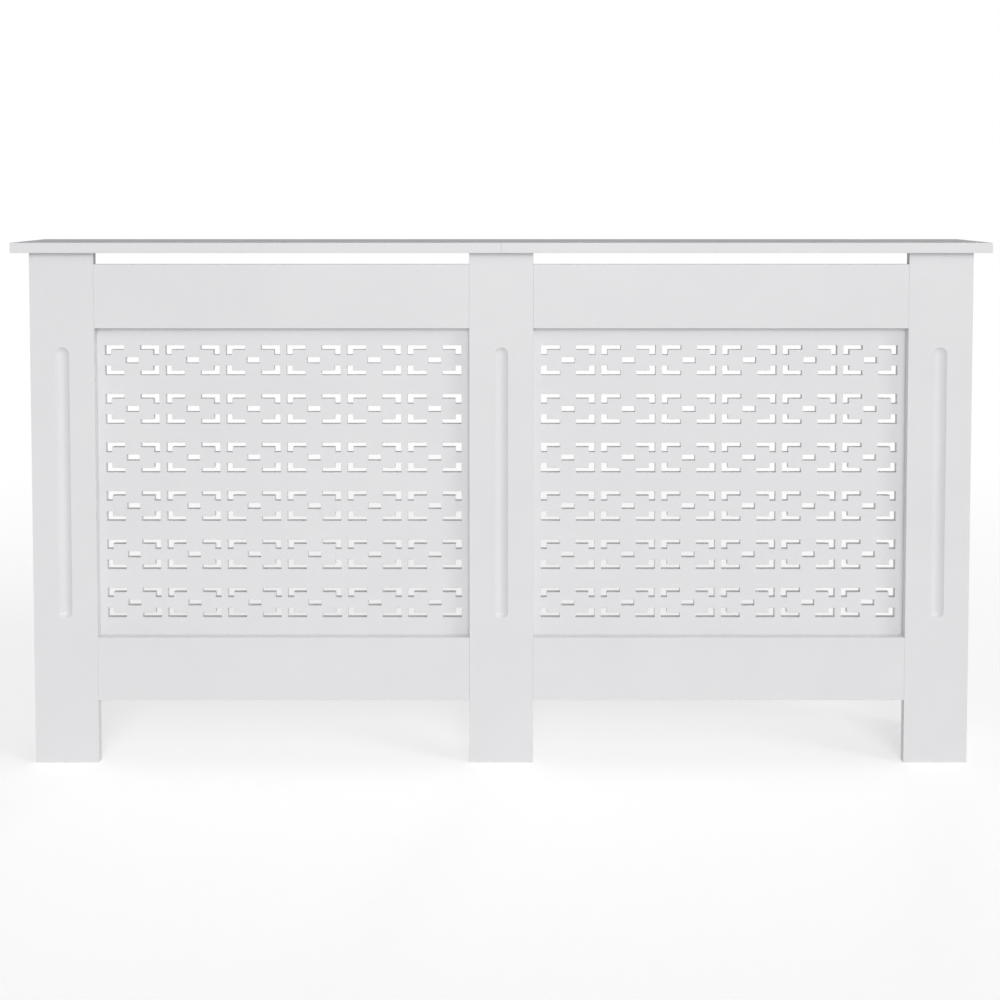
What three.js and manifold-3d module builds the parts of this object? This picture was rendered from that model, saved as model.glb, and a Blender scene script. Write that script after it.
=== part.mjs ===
// A radiator cover cabinet: two bays of fretwork behind a fluted post frame, open at the back,
// with a top board in two halves. It comes flat and goes together with dowels and cam locks.
// Millimetres, +Z up. The front faces -Y and the wall is at +Y. The origin is on the floor, below
// the middle of the cover's box.

import * as THREE from "three";
import { mergeVertices } from "three/addons/utils/BufferGeometryUtils.js";
import Module from "manifold-3d";

const wasm = await Module();
wasm.setup();

// ---- Sizes of the case ----
const topWidth = 1520;
const topDepth = 190;
const topThickness = 16;
const boardThickness = 16; // posts, rails, sides and gusset
const sideOverhang = 25; // of the top past the posts
const frontOverhang = 15;
const postWidth = 100;
const footHeight = 100; // free height below the bottom rails
const railHeight = 100;
const openingHeight = 488; // between a bay's two rails
const ventHeight = 18; // slit between a top rail and the top
const buttGap = 0.3; // between boards that meet

// ---- Routed flute in each post ----
const fluteWidth = 21;
const fluteDepth = 5.5;
const fluteEndMargin = 30; // from the flute's ends to the rails

// ---- Fretwork boards ----
const grilleThickness = 12;
const grilleLap = 20; // how far a board reaches behind the frame round its opening
const patternMargin = 8; // least distance from the pattern to the opening's edges
const unitWidth = 85;
const unitHeight = 47;
const unitGapX = 10; // between units side by side
const unitGapZ = 30; // between units one above the other
const cornerArmLength = 30; // level arm of each corner slot
const cornerArmHeight = 15; // upright arm of each corner slot
const levelSlotWidth = 7;
const uprightSlotWidth = 9.5;
const dashLength = 20.5;
const dashWidth = 9.5;

// ---- Sides and the gusset under the seam of the top ----
const skirtingNotchDepth = 15;
const skirtingNotchHeight = 110;
const gussetDepth = 70;
const gussetHeight = 90; // where it meets the post
const gussetNoseHeight = 30;

// ---- Cam locks, one at each end of each rail ----
const camSetback = 34; // from the rail's end to the cam's axis
const camHeightInRail = 60; // from the opening's edge of the rail
const camFit = 0.3; // radial, in its bore
const camBoreDepth = 12.5;
const camEndGap = 0.3; // below the rail's back face and above the bore's floor
const camTurn = 180; // degrees, from locked to open
const camRise = 0.5; // the track's radius grows by this from locked to open
const camBossRadius = 1.5;
const camWall = 0.6; // outside the track, at its thinnest
const camHeadFit = 0.25; // from the bolt's head to the track's wall
const camRunGap = 0.5; // round the bolt's head and neck
const camSweepMargin = 5; // degrees, past the bolt's head at each end of the track
const crossSlotLength = 6.4;
const crossSlotWidth = 1.2;
const crossSlotDepth = 2.2;

// ---- Cam bolts ----
const boltThreadRadius = 3;
const boltThreadLength = 12;
const boltThreadFit = 0.3; // radial, and past its end
const boltShankRadius = 3.5;
const boltBoreFit = 0.5; // radial, round the widest of the bolt
const boltNeckRadius = 2;
const boltNeckPastCam = 1.4; // how far the neck stands out of the cam
const boltHeadRadius = 3.4;
const boltHeadLength = 3;
const boltHeadSetback = 1.9; // from the cam's axis to the end of the head

// ---- Dowels ----
const dowelRadius = 4;
const dowelLength = 30;
const dowelChamfer = 1;
const dowelHeightInRail = 25; // from the opening's edge of the rail
const dowelFit = 0.3; // radial, and past each end
const sideDowelInPost = 10; // how deep a side's dowel goes into its post
const sideDowelInset = 150; // from a post's foot or head to the dowel

// ---- Screws that hold the fretwork boards to the posts ----
const screwInset = 10; // from the opening's upright edge into the post
const screwEndMargin = 60; // from the opening's top or bottom
const screwShankRadius = 1.75;
const screwHeadRadius = 3.6;
const screwCrownRadius = 2.9; // flat end of the head
const screwHeadHeight = 2.2;
const screwInPost = 11;
const screwPointLength = 3;
const screwFit = 0.3;

// ---- Corner blocks, wall brackets and the plates that join the top ----
const blockLeg = 20;
const blockLip = 5; // thickness of the block's two free edges
const blockLength = 36;
const blockHoleRadius = 2.3;
const blockHoleMargin = 9; // from each end of the block to its hole
const blockEndMargin = 28; // from a side board's front or back edge to the block
const bracketThickness = 2;
const bracketLeg = 34; // along the side board
const bracketWallLeg = 28; // along the wall
const bracketHeight = 24;
const bracketBendRadius = 4; // outside
const bracketHoleRadius = 2.6;
const bracketDrop = 90; // from the top's underside to the bracket
const plateLength = 64;
const plateWidth = 18;
const plateThickness = 2;
const plateHoleRadius = 2.2;
const plateHoleInset = 7; // from the plate's end to its outer hole
const plateHolePitch = 14;

// ---- Facets of the round shapes ----
const fluteFacets = 32;
const boreFacets = 10;
const camFacets = 18;
const trackStep = 24; // degrees
const turnedFacets = 10;
const bendFacets = 8;
const past = 1; // how far a cutter stands out of what it cuts

// ---- Places that follow from the sizes ----
const openingBottom = footHeight + railHeight;
const openingTop = openingBottom + openingHeight;
const topUnderside = openingTop + railHeight + ventHeight;
const caseHeight = topUnderside - buttGap; // of posts, sides
const bodyWidth = topWidth - 2 * sideOverhang;
const bayWidth = (bodyWidth - 3 * postWidth) / 2;
const bayCentre = (postWidth + bayWidth) / 2;
const wallY = topDepth / 2;
const frameFront = -topDepth / 2 + frontOverhang;
const frameBack = frameFront + boardThickness;
const grilleFront = frameBack + buttGap;
const grilleBack = grilleFront + grilleThickness;
const sideFront = frameBack + buttGap;
const sideDepth = wallY - sideFront;
const sideInner = bodyWidth / 2 - boardThickness; // from the middle to a side's inner face
const unitPitchX = unitWidth + unitGapX;
const unitPitchZ = unitHeight + unitGapZ;
const unitColumns = Math.floor((bayWidth - 2 * patternMargin + unitGapX) / unitPitchX);
const unitRows = Math.floor((openingHeight - 2 * patternMargin + unitGapZ) / unitPitchZ);
const camTrackRadius = Math.hypot(boltHeadSetback + boltHeadLength, boltHeadRadius) + camHeadFit;
const camRadius = camTrackRadius + camRise + camWall;
const boltBoreRadius = Math.max(boltShankRadius, boltHeadRadius) + boltBoreFit;
const gussetBack = sideFront + gussetDepth;
const plateGap = (wallY - gussetBack - 2 * plateWidth) / 3; // gusset, plate, plate, wall

// ---- Materials ----
const paint = { color: 0xf0f0f0, roughness: 0.45, metalness: 0 };
const zinc = { color: 0xb9bcc0, roughness: 0.35, metalness: 1 };
const beech = { color: 0xcfa877, roughness: 0.7, metalness: 0 };
const whitePlastic = { color: 0xeeeeec, roughness: 0.4, metalness: 0 };

// ---- Solids from geometries and back ----

function solidOf(geometry) {
  const bare = geometry.clone();
  bare.deleteAttribute("normal");
  bare.deleteAttribute("uv");
  const merged = mergeVertices(bare, 1e-4);
  const corners = merged.index.array;
  const kept = [];
  for (let i = 0; i < corners.length; i += 3) {
    const [a, b, c] = corners.slice(i, i + 3);
    if (a !== b && b !== c && c !== a) kept.push(a, b, c);
  }
  return new wasm.Manifold(
    new wasm.Mesh({
      numProp: 3,
      vertProperties: merged.attributes.position.array,
      triVerts: new Uint32Array(kept),
    }),
  );
}

function geometryOf(solid) {
  const { vertProperties, triVerts } = solid.getMesh();
  const geometry = new THREE.BufferGeometry();
  geometry.setAttribute("position", new THREE.BufferAttribute(vertProperties, 3));
  geometry.setIndex(new THREE.BufferAttribute(triVerts, 1));
  return geometry;
}

function cut(geometry, cutters) {
  let solid = solidOf(geometry);
  for (const cutter of cutters) solid = solid.subtract(solidOf(cutter));
  return geometryOf(solid);
}

function piece(name, geometry, finish, position = [0, 0, 0], rotation = [0, 0, 0]) {
  const mesh = new THREE.Mesh(
    geometry,
    new THREE.MeshStandardMaterial({ ...finish, flatShading: true }),
  );
  mesh.name = name;
  mesh.position.set(...position);
  mesh.rotation.set(...rotation);
  return mesh;
}

// ---- Basic shapes ----

// A board with its lowest corner at the origin.
function board(width, depth, height) {
  return new THREE.BoxGeometry(width, depth, height).translate(width / 2, depth / 2, height / 2);
}

// A round bar from the origin along +X, -X, +Y, -Y, +Z or -Z.
function bar(radius, length, axis, facets = boreFacets) {
  const along = new THREE.Vector3(...axis);
  const turn = new THREE.Quaternion().setFromUnitVectors(new THREE.Vector3(0, 1, 0), along);
  return new THREE.CylinderGeometry(radius, radius, length, facets)
    .translate(0, length / 2, 0)
    .applyQuaternion(turn);
}

// A turned shape about +Y from a list of [radius, height] points, the height rising.
function turned(points, facets = turnedFacets) {
  const profile = points.map(([radius, height]) => new THREE.Vector2(radius, height));
  return new THREE.LatheGeometry(profile, facets);
}

// A plate of the given thickness, drawn in the XY plane and standing up along +Z.
function plate(shape, thickness) {
  const settings = { depth: thickness, bevelEnabled: false, curveSegments: bendFacets };
  return new THREE.ExtrudeGeometry(shape, settings);
}

function outline(points) {
  return new THREE.Shape(points.map(([x, y]) => new THREE.Vector2(x, y)));
}

// A plate drawn with y and z as its coordinates, and its thickness along +X.
function upright(points, thickness) {
  const axes = new THREE.Matrix4().makeBasis(
    new THREE.Vector3(0, 1, 0),
    new THREE.Vector3(0, 0, 1),
    new THREE.Vector3(1, 0, 0),
  );
  return plate(outline(points), thickness).applyMatrix4(axes);
}

// ---- Front posts ----

// A round-ended cove: the cutter is a long round-nosed bar that dips fluteDepth into the face.
function fluteCutter() {
  const radius = (fluteWidth ** 2 / 4 + fluteDepth ** 2) / (2 * fluteDepth);
  const tipReach = fluteWidth / 2; // from a tip ball's centre to the flute's end, on the face
  const halfLength = openingHeight / 2 - fluteEndMargin - tipReach;
  const steps = fluteFacets / 4;
  const nose = Array.from({ length: steps }, (_, i) => {
    const angle = (i / steps) * (Math.PI / 2);
    return [radius * Math.cos(angle), halfLength + radius * Math.sin(angle)];
  });
  const upper = [...nose, [0, halfLength + radius]];
  const lower = upper.map(([x, y]) => [x, -y]).reverse();
  return turned([...lower, ...upper], fluteFacets)
    .rotateX(Math.PI / 2)
    .translate(postWidth / 2, fluteDepth - radius, openingBottom + openingHeight / 2);
}

// Each rail's height from the floor, and those of the cam bolt and dowel at each of its ends.
const railJoints = [
  {
    rail: "bottom",
    bottom: footHeight,
    bolt: openingBottom - camHeightInRail,
    dowel: openingBottom - dowelHeightInRail,
  },
  {
    rail: "top",
    bottom: openingTop,
    bolt: openingTop + camHeightInRail,
    dowel: openingTop + dowelHeightInRail,
  },
];
const screwHeights = {
  lower: openingBottom + screwEndMargin,
  upper: openingTop - screwEndMargin,
};
const sideDowelHeights = { lower: sideDowelInset, upper: caseHeight - sideDowelInset };

// Bores in one upright edge of a post, a thread and a dowel for each rail, and the screw pilots in
// the back face beside it.
function postEdgeBores(atRight) {
  const x = atRight ? postWidth + past : -past;
  const inward = [atRight ? -1 : 1, 0, 0];
  const middle = boardThickness / 2;
  const bores = [];
  for (const { bolt, dowel } of railJoints) {
    const threadDepth = boltThreadLength + boltThreadFit;
    const thread = bar(boltThreadRadius + boltThreadFit, past + threadDepth, inward);
    bores.push(thread.translate(x, middle, bolt));
    const hole = bar(dowelRadius + dowelFit, past + dowelLength / 2 + dowelFit, inward);
    bores.push(hole.translate(x, middle, dowel));
  }
  const pilotX = atRight ? postWidth - screwInset : screwInset;
  for (const z of Object.values(screwHeights)) {
    const pilot = bar(screwShankRadius + screwFit, past + screwInPost + screwFit, [0, -1, 0]);
    bores.push(pilot.translate(pilotX, boardThickness + past, z));
  }
  return bores;
}

function post(name, x, { left, right, side }) {
  const cutters = [fluteCutter()];
  if (left) cutters.push(...postEdgeBores(false));
  if (right) cutters.push(...postEdgeBores(true));
  if (side !== undefined)
    for (const z of Object.values(sideDowelHeights)) {
      const hole = bar(dowelRadius + dowelFit, past + sideDowelInPost + dowelFit, [0, -1, 0]);
      cutters.push(hole.translate(side, boardThickness + past, z));
    }
  const geometry = cut(board(postWidth, boardThickness, caseHeight), cutters);
  return piece(name, geometry, paint, [x, frameFront, 0]);
}

function frontPosts() {
  const group = new THREE.Group();
  const sideMiddle = boardThickness / 2;
  group.add(
    post("left_front_post", -bodyWidth / 2, { right: true, side: sideMiddle }),
    post("centre_front_post", -postWidth / 2, { left: true, right: true }),
    post("right_front_post", bodyWidth / 2 - postWidth, {
      left: true,
      side: postWidth - sideMiddle,
    }),
  );
  return group;
}

// ---- Rails ----

// Cam bore, bolt bore and dowel bore at one end of a rail.
function railEndBores(length, atRight, boltZ, dowelZ) {
  const end = atRight ? length + past : -past;
  const inward = [atRight ? -1 : 1, 0, 0];
  const middle = boardThickness / 2;
  const setback = camSetback - buttGap;
  const camX = atRight ? length - setback : setback;
  const camBore = bar(camRadius + camFit, past + camBoreDepth, [0, -1, 0], camFacets);
  const boltBore = bar(boltBoreRadius, past + setback, inward);
  const dowelDepth = dowelLength / 2 - buttGap + dowelFit;
  const dowelBore = bar(dowelRadius + dowelFit, past + dowelDepth, inward);
  return [
    camBore.translate(camX, boardThickness + past, boltZ),
    boltBore.translate(end, middle, boltZ),
    dowelBore.translate(end, middle, dowelZ),
  ];
}

function rail(name, centreX, { bottom, bolt, dowel }) {
  const length = bayWidth - 2 * buttGap;
  const cutters = [false, true].flatMap((atRight) =>
    railEndBores(length, atRight, bolt - bottom, dowel - bottom),
  );
  const geometry = cut(board(length, boardThickness, railHeight), cutters);
  return piece(name, geometry, paint, [centreX - length / 2, frameFront, bottom]);
}

// ---- Cam lock, bolt and dowel ----

// A ring sector between two angles in degrees, counted down from the first. The outer radius grows
// evenly from outerStart to outerEnd.
function sector(from, to, inner, outerStart, outerEnd) {
  const steps = Math.ceil((from - to) / trackStep);
  const outerSide = [];
  const innerSide = [];
  for (let i = 0; i <= steps; i++) {
    const angle = THREE.MathUtils.degToRad(from + ((to - from) * i) / steps);
    const radius = outerStart + ((outerEnd - outerStart) * i) / steps;
    outerSide.push([radius * Math.cos(angle), radius * Math.sin(angle)]);
    innerSide.unshift([inner * Math.cos(angle), inner * Math.sin(angle)]);
  }
  return outline([...outerSide, ...innerSide].reverse());
}

// Half the angle, in degrees, that an opening takes up on a circle.
const halfAngle = (halfWidth, radius) => THREE.MathUtils.radToDeg(Math.asin(halfWidth / radius));

// The cam lies with its head up, its axis on +Z and z = 0 at the rail's back face. Locked, it holds a
// bolt that comes in from +X. Turned by camTurn, its mouth is open towards that bolt.
function cam() {
  const axisZ = -boardThickness / 2;
  const headRoom = boltHeadRadius + camRunGap;
  const neckRoom = boltNeckRadius + camRunGap;
  const floorZ = -(camBoreDepth - camEndGap);
  const inside = camTrackRadius - past;
  const outside = camRadius + past;
  const body = bar(camRadius, -camEndGap - floorZ, [0, 0, 1], camFacets).translate(0, 0, floorZ);

  // The head sweeps this track as the cam turns. The track is open below.
  const headAngle = Math.atan2(boltHeadRadius, boltHeadSetback);
  const sweep = THREE.MathUtils.radToDeg(headAngle) + camSweepMargin;
  const trackHeight = axisZ + headRoom - floorZ + past;
  const track = plate(
    sector(sweep, -camTurn - sweep, camBossRadius, camTrackRadius, camTrackRadius + camRise),
    trackHeight,
  ).translate(0, 0, floorZ - past);

  // The neck passes the wall through this slot, and the head comes in by the mouth at its end.
  const neckSweep = halfAngle(neckRoom, camTrackRadius);
  const slot = plate(
    sector(neckSweep, -camTurn - neckSweep, inside, outside, outside),
    2 * neckRoom,
  ).translate(0, 0, axisZ - neckRoom);
  const mouthSweep = halfAngle(headRoom, camTrackRadius);
  const mouth = plate(
    sector(mouthSweep - camTurn, -camTurn - mouthSweep, inside, outside, outside),
    trackHeight,
  ).translate(0, 0, floorZ - past);

  const crossDepth = crossSlotDepth + past;
  const crossZ = -camEndGap - crossSlotDepth + crossDepth / 2;
  const cross = [
    new THREE.BoxGeometry(crossSlotLength, crossSlotWidth, crossDepth).translate(0, 0, crossZ),
    new THREE.BoxGeometry(crossSlotWidth, crossSlotLength, crossDepth).translate(0, 0, crossZ),
  ];
  return cut(body, [track, slot, mouth, ...cross]);
}

// The bolt stands on +Y: its thread is below y = 0, the post's edge, and its head is by the cam's axis.
function camBolt() {
  const headEnd = camSetback - boltHeadSetback;
  const headStart = headEnd - boltHeadLength;
  const neckStart = camSetback - camRadius - boltNeckPastCam;
  return turned([
    [0, -boltThreadLength],
    [boltThreadRadius, -boltThreadLength],
    [boltThreadRadius, 0],
    [boltShankRadius, 0],
    [boltShankRadius, neckStart],
    [boltNeckRadius, neckStart],
    [boltNeckRadius, headStart],
    [boltHeadRadius, headStart],
    [boltHeadRadius, headEnd],
    [0, headEnd],
  ]);
}

function dowel() {
  const end = dowelLength / 2;
  return turned([
    [0, -end],
    [dowelRadius - dowelChamfer, -end],
    [dowelRadius, dowelChamfer - end],
    [dowelRadius, end - dowelChamfer],
    [dowelRadius - dowelChamfer, end],
    [0, end],
  ]);
}

// The three fasteners of one rail end. edgeX is the post's edge there, and into points from it along
// the rail.
function railEnd(prefix, edgeX, into, joint) {
  const quarter = Math.PI / 2;
  const alongRail = [0, 0, -into * quarter];
  const middleY = frameFront + boardThickness / 2;
  const camPlace = [edgeX + into * camSetback, frameBack, joint.bolt];
  const camFacing = [-quarter, 0, into > 0 ? Math.PI : 0];
  const group = new THREE.Group();
  group.add(
    piece(`${prefix}_cam`, cam(), zinc, camPlace, camFacing),
    piece(`${prefix}_cam_bolt`, camBolt(), zinc, [edgeX, middleY, joint.bolt], alongRail),
    piece(`${prefix}_dowel`, dowel(), beech, [edgeX, middleY, joint.dowel], alongRail),
  );
  return group;
}

// ---- Fretwork boards ----

// The unit's four corner slots and its dash, about the unit's centre.
function unitSlots() {
  const x = unitWidth / 2;
  const z = unitHeight / 2;
  const corner = [
    [x, z],
    [x - cornerArmLength, z],
    [x - cornerArmLength, z - levelSlotWidth],
    [x - uprightSlotWidth, z - levelSlotWidth],
    [x - uprightSlotWidth, z - cornerArmHeight],
    [x, z - cornerArmHeight],
  ];
  const corners = [1, -1].flatMap((right) =>
    [1, -1].map((top) => corner.map(([across, up]) => [right * across, top * up])),
  );
  const dash = [
    [-dashLength / 2, -dashWidth / 2],
    [dashLength / 2, -dashWidth / 2],
    [dashLength / 2, dashWidth / 2],
    [-dashLength / 2, dashWidth / 2],
  ];
  return [...corners, dash];
}

function grille(name, centreX) {
  const halfWidth = bayWidth / 2 + grilleLap;
  const halfHeight = openingHeight / 2 + grilleLap;
  const reach = grilleThickness + 2 * past;
  const slots = [];
  for (let row = 0; row < unitRows; row++)
    for (let column = 0; column < unitColumns; column++) {
      const x = (column - (unitColumns - 1) / 2) * unitPitchX;
      const y = (row - (unitRows - 1) / 2) * unitPitchZ;
      for (const slot of unitSlots())
        slots.push(outline(slot.map(([across, up]) => [x + across, y + up])));
    }
  const cutters = [plate(slots, reach).translate(0, 0, -past)];
  const screwX = bayWidth / 2 + screwInset;
  const screwY = openingHeight / 2 - screwEndMargin;
  for (const side of [-1, 1])
    for (const level of [-1, 1]) {
      const hole = bar(screwShankRadius + screwFit, reach, [0, 0, 1]);
      cutters.push(hole.translate(side * screwX, level * screwY, -past));
    }
  const blank = board(2 * halfWidth, 2 * halfHeight, grilleThickness);
  const geometry = cut(blank.translate(-halfWidth, -halfHeight, 0), cutters).rotateX(Math.PI / 2);
  return piece(name, geometry, paint, [centreX, grilleBack, openingBottom + openingHeight / 2]);
}

// A pan-head screw that points down -Y, its head resting at y = 0.
function screw() {
  const length = grilleThickness + buttGap + screwInPost;
  return turned([
    [0, -length],
    [screwShankRadius, screwPointLength - length],
    [screwShankRadius, 0],
    [screwHeadRadius, 0],
    [screwCrownRadius, screwHeadHeight],
    [0, screwHeadHeight],
  ]);
}

function bay(name, centreX) {
  const group = new THREE.Group();
  const left = centreX - bayWidth / 2;
  const right = centreX + bayWidth / 2;
  const [atLeft, atRight] = centreX < 0 ? ["outer", "inner"] : ["inner", "outer"];
  for (const joint of railJoints) {
    group.add(
      rail(`${name}_${joint.rail}_rail`, centreX, joint),
      railEnd(`${name}_${joint.rail}_${atLeft}`, left, 1, joint),
      railEnd(`${name}_${joint.rail}_${atRight}`, right, -1, joint),
    );
  }
  group.add(grille(`${name}_grille_board`, centreX));
  const screwX = { [atLeft]: left - screwInset, [atRight]: right + screwInset };
  for (const [where, x] of Object.entries(screwX))
    for (const [level, z] of Object.entries(screwHeights)) {
      const place = [x, grilleBack + buttGap, z];
      group.add(piece(`${name}_${where}_${level}_screw`, screw(), zinc, place));
    }
  return group;
}

// ---- Sides, top and gusset ----

// Drawn with its front edge at y = 0 and its thickness from x = 0 towards +X.
function sideBoard(name, x) {
  const back = sideDepth;
  const shape = [
    [0, 0],
    [back - skirtingNotchDepth, 0],
    [back - skirtingNotchDepth, skirtingNotchHeight],
    [back, skirtingNotchHeight],
    [back, caseHeight],
    [0, caseHeight],
  ];
  const depth = dowelLength - sideDowelInPost - buttGap + dowelFit;
  const holes = Object.values(sideDowelHeights).map((z) => {
    const hole = bar(dowelRadius + dowelFit, past + depth, [0, 1, 0]);
    return hole.translate(boardThickness / 2, -past, z);
  });
  return piece(name, cut(upright(shape, boardThickness), holes), paint, [x, sideFront, 0]);
}

function sideDowels(name, x) {
  const y = frameBack - sideDowelInPost + dowelLength / 2;
  return Object.entries(sideDowelHeights).map(([level, z]) =>
    piece(`${name}_${level}_dowel`, dowel(), beech, [x, y, z]),
  );
}

function topHalf(name, x) {
  const width = (topWidth - buttGap) / 2;
  const place = [x, -topDepth / 2, topUnderside];
  return piece(name, board(width, topDepth, topThickness), paint, place);
}

function gusset() {
  const shape = [
    [0, -gussetHeight],
    [gussetDepth, -gussetNoseHeight],
    [gussetDepth, 0],
    [0, 0],
  ];
  const position = [-boardThickness / 2, sideFront, caseHeight];
  return piece("centre_gusset", upright(shape, boardThickness), paint, position);
}

// ---- Blocks, brackets and plates ----

// A plastic corner block: its two flat legs lie on x = 0 and y = 0 and it runs up +Z.
function cornerBlock() {
  const shape = outline([
    [0, 0],
    [blockLeg, 0],
    [blockLeg, blockLip],
    [blockLip, blockLeg],
    [0, blockLeg],
  ]);
  const hole = blockLeg / 2;
  const reach = blockLeg + 2 * past;
  const through = [
    bar(blockHoleRadius, reach, [1, 0, 0]).translate(-past, hole, blockHoleMargin),
    bar(blockHoleRadius, reach, [0, 1, 0]).translate(hole, -past, blockLength - blockHoleMargin),
  ];
  return cut(plate(shape, blockLength), through);
}

// Blocks under the top, in the corner with a side board. They run along +Y.
function topBlocks(name, atRight) {
  const x = (atRight ? 1 : -1) * (sideInner - buttGap);
  const z = topUnderside - buttGap;
  const places = { front: sideFront + blockEndMargin, rear: wallY - blockEndMargin - blockLength };
  return Object.entries(places).map(([where, y]) => {
    const geometry = cornerBlock();
    if (atRight) geometry.rotateZ(Math.PI / 2);
    geometry.rotateX(-Math.PI / 2);
    return piece(`${name}_${where}_corner_block`, geometry, whitePlastic, [x, y, z]);
  });
}

// Upright blocks in the corners between the gusset and the centre post.
function gussetBlocks() {
  const x = boardThickness / 2 + buttGap;
  const z = caseHeight - blockLength - blockLip;
  const left = cornerBlock().rotateZ(Math.PI / 2);
  return [
    piece("gusset_left_corner_block", left, whitePlastic, [-x, sideFront, z]),
    piece("gusset_right_corner_block", cornerBlock(), whitePlastic, [x, sideFront, z]),
  ];
}

// A bent steel bracket: one leg on the side board, the other flat in the wall's plane.
function wallBracket(name, atRight) {
  const inner = bracketBendRadius - bracketThickness;
  const shape = new THREE.Shape();
  shape.moveTo(0, -bracketLeg);
  shape.lineTo(bracketThickness, -bracketLeg);
  shape.lineTo(bracketThickness, -bracketBendRadius);
  shape.absarc(bracketBendRadius, -bracketBendRadius, inner, Math.PI, Math.PI / 2, true);
  shape.lineTo(bracketWallLeg, -bracketThickness);
  shape.lineTo(bracketWallLeg, 0);
  shape.lineTo(bracketBendRadius, 0);
  shape.absarc(bracketBendRadius, -bracketBendRadius, bracketBendRadius, Math.PI / 2, Math.PI, false);
  const reach = bracketThickness + 2 * past;
  const middle = bracketHeight / 2;
  const sideHole = (bracketLeg + bracketBendRadius) / 2;
  const wallHole = (bracketWallLeg + bracketBendRadius) / 2;
  const geometry = cut(plate(shape, bracketHeight), [
    bar(bracketHoleRadius, reach, [1, 0, 0]).translate(-past, -sideHole, middle),
    bar(bracketHoleRadius, reach, [0, 1, 0]).translate(wallHole, -bracketThickness - past, middle),
  ]);
  const x = sideInner - buttGap;
  const z = topUnderside - bracketDrop - bracketHeight;
  if (!atRight) return piece(name, geometry, zinc, [-x, wallY, z]);
  geometry.rotateY(Math.PI).translate(0, 0, bracketHeight); // the other hand
  return piece(name, geometry, zinc, [x, wallY, z]);
}

// A flat steel plate across the seam of the top, with two screw holes on each half.
function joiningPlate(name, y) {
  const holeAt = plateLength / 2 - plateHoleInset;
  const reach = plateThickness + 2 * past;
  const holes = [-holeAt, plateHolePitch - holeAt, holeAt - plateHolePitch, holeAt].map((x) =>
    bar(plateHoleRadius, reach, [0, 0, 1]).translate(x, 0, -past),
  );
  const blank = board(plateLength, plateWidth, plateThickness);
  const geometry = cut(blank.translate(-plateLength / 2, -plateWidth / 2, 0), holes);
  return piece(name, geometry, zinc, [0, y, topUnderside - buttGap - plateThickness]);
}

// ---- The cover ----

function radiatorCover() {
  const cover = new THREE.Group();
  const sideMiddle = bodyWidth / 2 - boardThickness / 2;
  const plateMargin = plateGap + plateWidth / 2;
  cover.add(
    frontPosts(),
    bay("left", -bayCentre),
    bay("right", bayCentre),
    sideBoard("left_side_board", -bodyWidth / 2),
    sideBoard("right_side_board", sideInner),
    ...sideDowels("left_side", -sideMiddle),
    ...sideDowels("right_side", sideMiddle),
    topHalf("left_top_board", -topWidth / 2),
    topHalf("right_top_board", buttGap / 2),
    gusset(),
    ...gussetBlocks(),
    ...topBlocks("left", false),
    ...topBlocks("right", true),
    wallBracket("left_wall_bracket", false),
    wallBracket("right_wall_bracket", true),
    joiningPlate("front_joining_plate", gussetBack + plateMargin),
    joiningPlate("rear_joining_plate", wallY - plateMargin),
  );
  return cover;
}

export default radiatorCover();
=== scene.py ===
import math
import bmesh
import bpy
from mathutils import Matrix, Vector


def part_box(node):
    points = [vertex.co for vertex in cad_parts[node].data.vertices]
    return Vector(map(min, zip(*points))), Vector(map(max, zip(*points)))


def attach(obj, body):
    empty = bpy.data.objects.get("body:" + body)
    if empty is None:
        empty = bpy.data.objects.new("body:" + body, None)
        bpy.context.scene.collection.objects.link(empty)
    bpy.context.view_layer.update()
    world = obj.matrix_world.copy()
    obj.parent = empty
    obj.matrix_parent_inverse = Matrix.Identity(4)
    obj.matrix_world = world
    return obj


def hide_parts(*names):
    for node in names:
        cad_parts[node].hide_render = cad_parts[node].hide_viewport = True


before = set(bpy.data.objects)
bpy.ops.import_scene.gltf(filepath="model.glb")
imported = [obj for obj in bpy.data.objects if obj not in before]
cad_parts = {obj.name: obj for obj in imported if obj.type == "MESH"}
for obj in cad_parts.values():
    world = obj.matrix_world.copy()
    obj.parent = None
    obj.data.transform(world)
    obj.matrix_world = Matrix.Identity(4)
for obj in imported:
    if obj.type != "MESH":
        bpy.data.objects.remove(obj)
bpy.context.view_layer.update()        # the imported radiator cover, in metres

scene = bpy.context.scene
scene.view_settings.view_transform = "Standard"
mm = 0.001
past = 1 * mm                   # how far a cutter stands out of the face it starts on
boreFacets = 40
edgeSteps = 3                   # faces across the eased edge of a board
sameTo = 7                      # decimals of a metre to which two cuts share a place
sharpTurn = 0.5                 # radians between two faces that meet in an edge to ease
smoothTurn = math.radians(35)   # beyond this an edge is shaded sharp


def newMaterial(name, colour, metallic=0.0, gloss=0.5):
    material = bpy.data.materials.new(name)
    material.use_nodes = True
    shader = material.node_tree.nodes["Principled BSDF"]
    shader.inputs["Base Color"].default_value = (*colour, 1)
    shader.inputs["Metallic"].default_value = metallic
    shader.inputs["Specular IOR Level"].default_value = gloss
    material.diffuse_color = (*colour, 1)
    return material


def addNode(material, kind, values=None, **links):
    # values are written on the sockets, links are other nodes' outputs
    node = material.node_tree.nodes.new(kind)
    for socket, value in (values or {}).items():
        node.inputs[socket].default_value = value
    for socket, output in links.items():
        material.node_tree.links.new(output, node.inputs[socket.replace("_", " ")])
    return node


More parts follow.
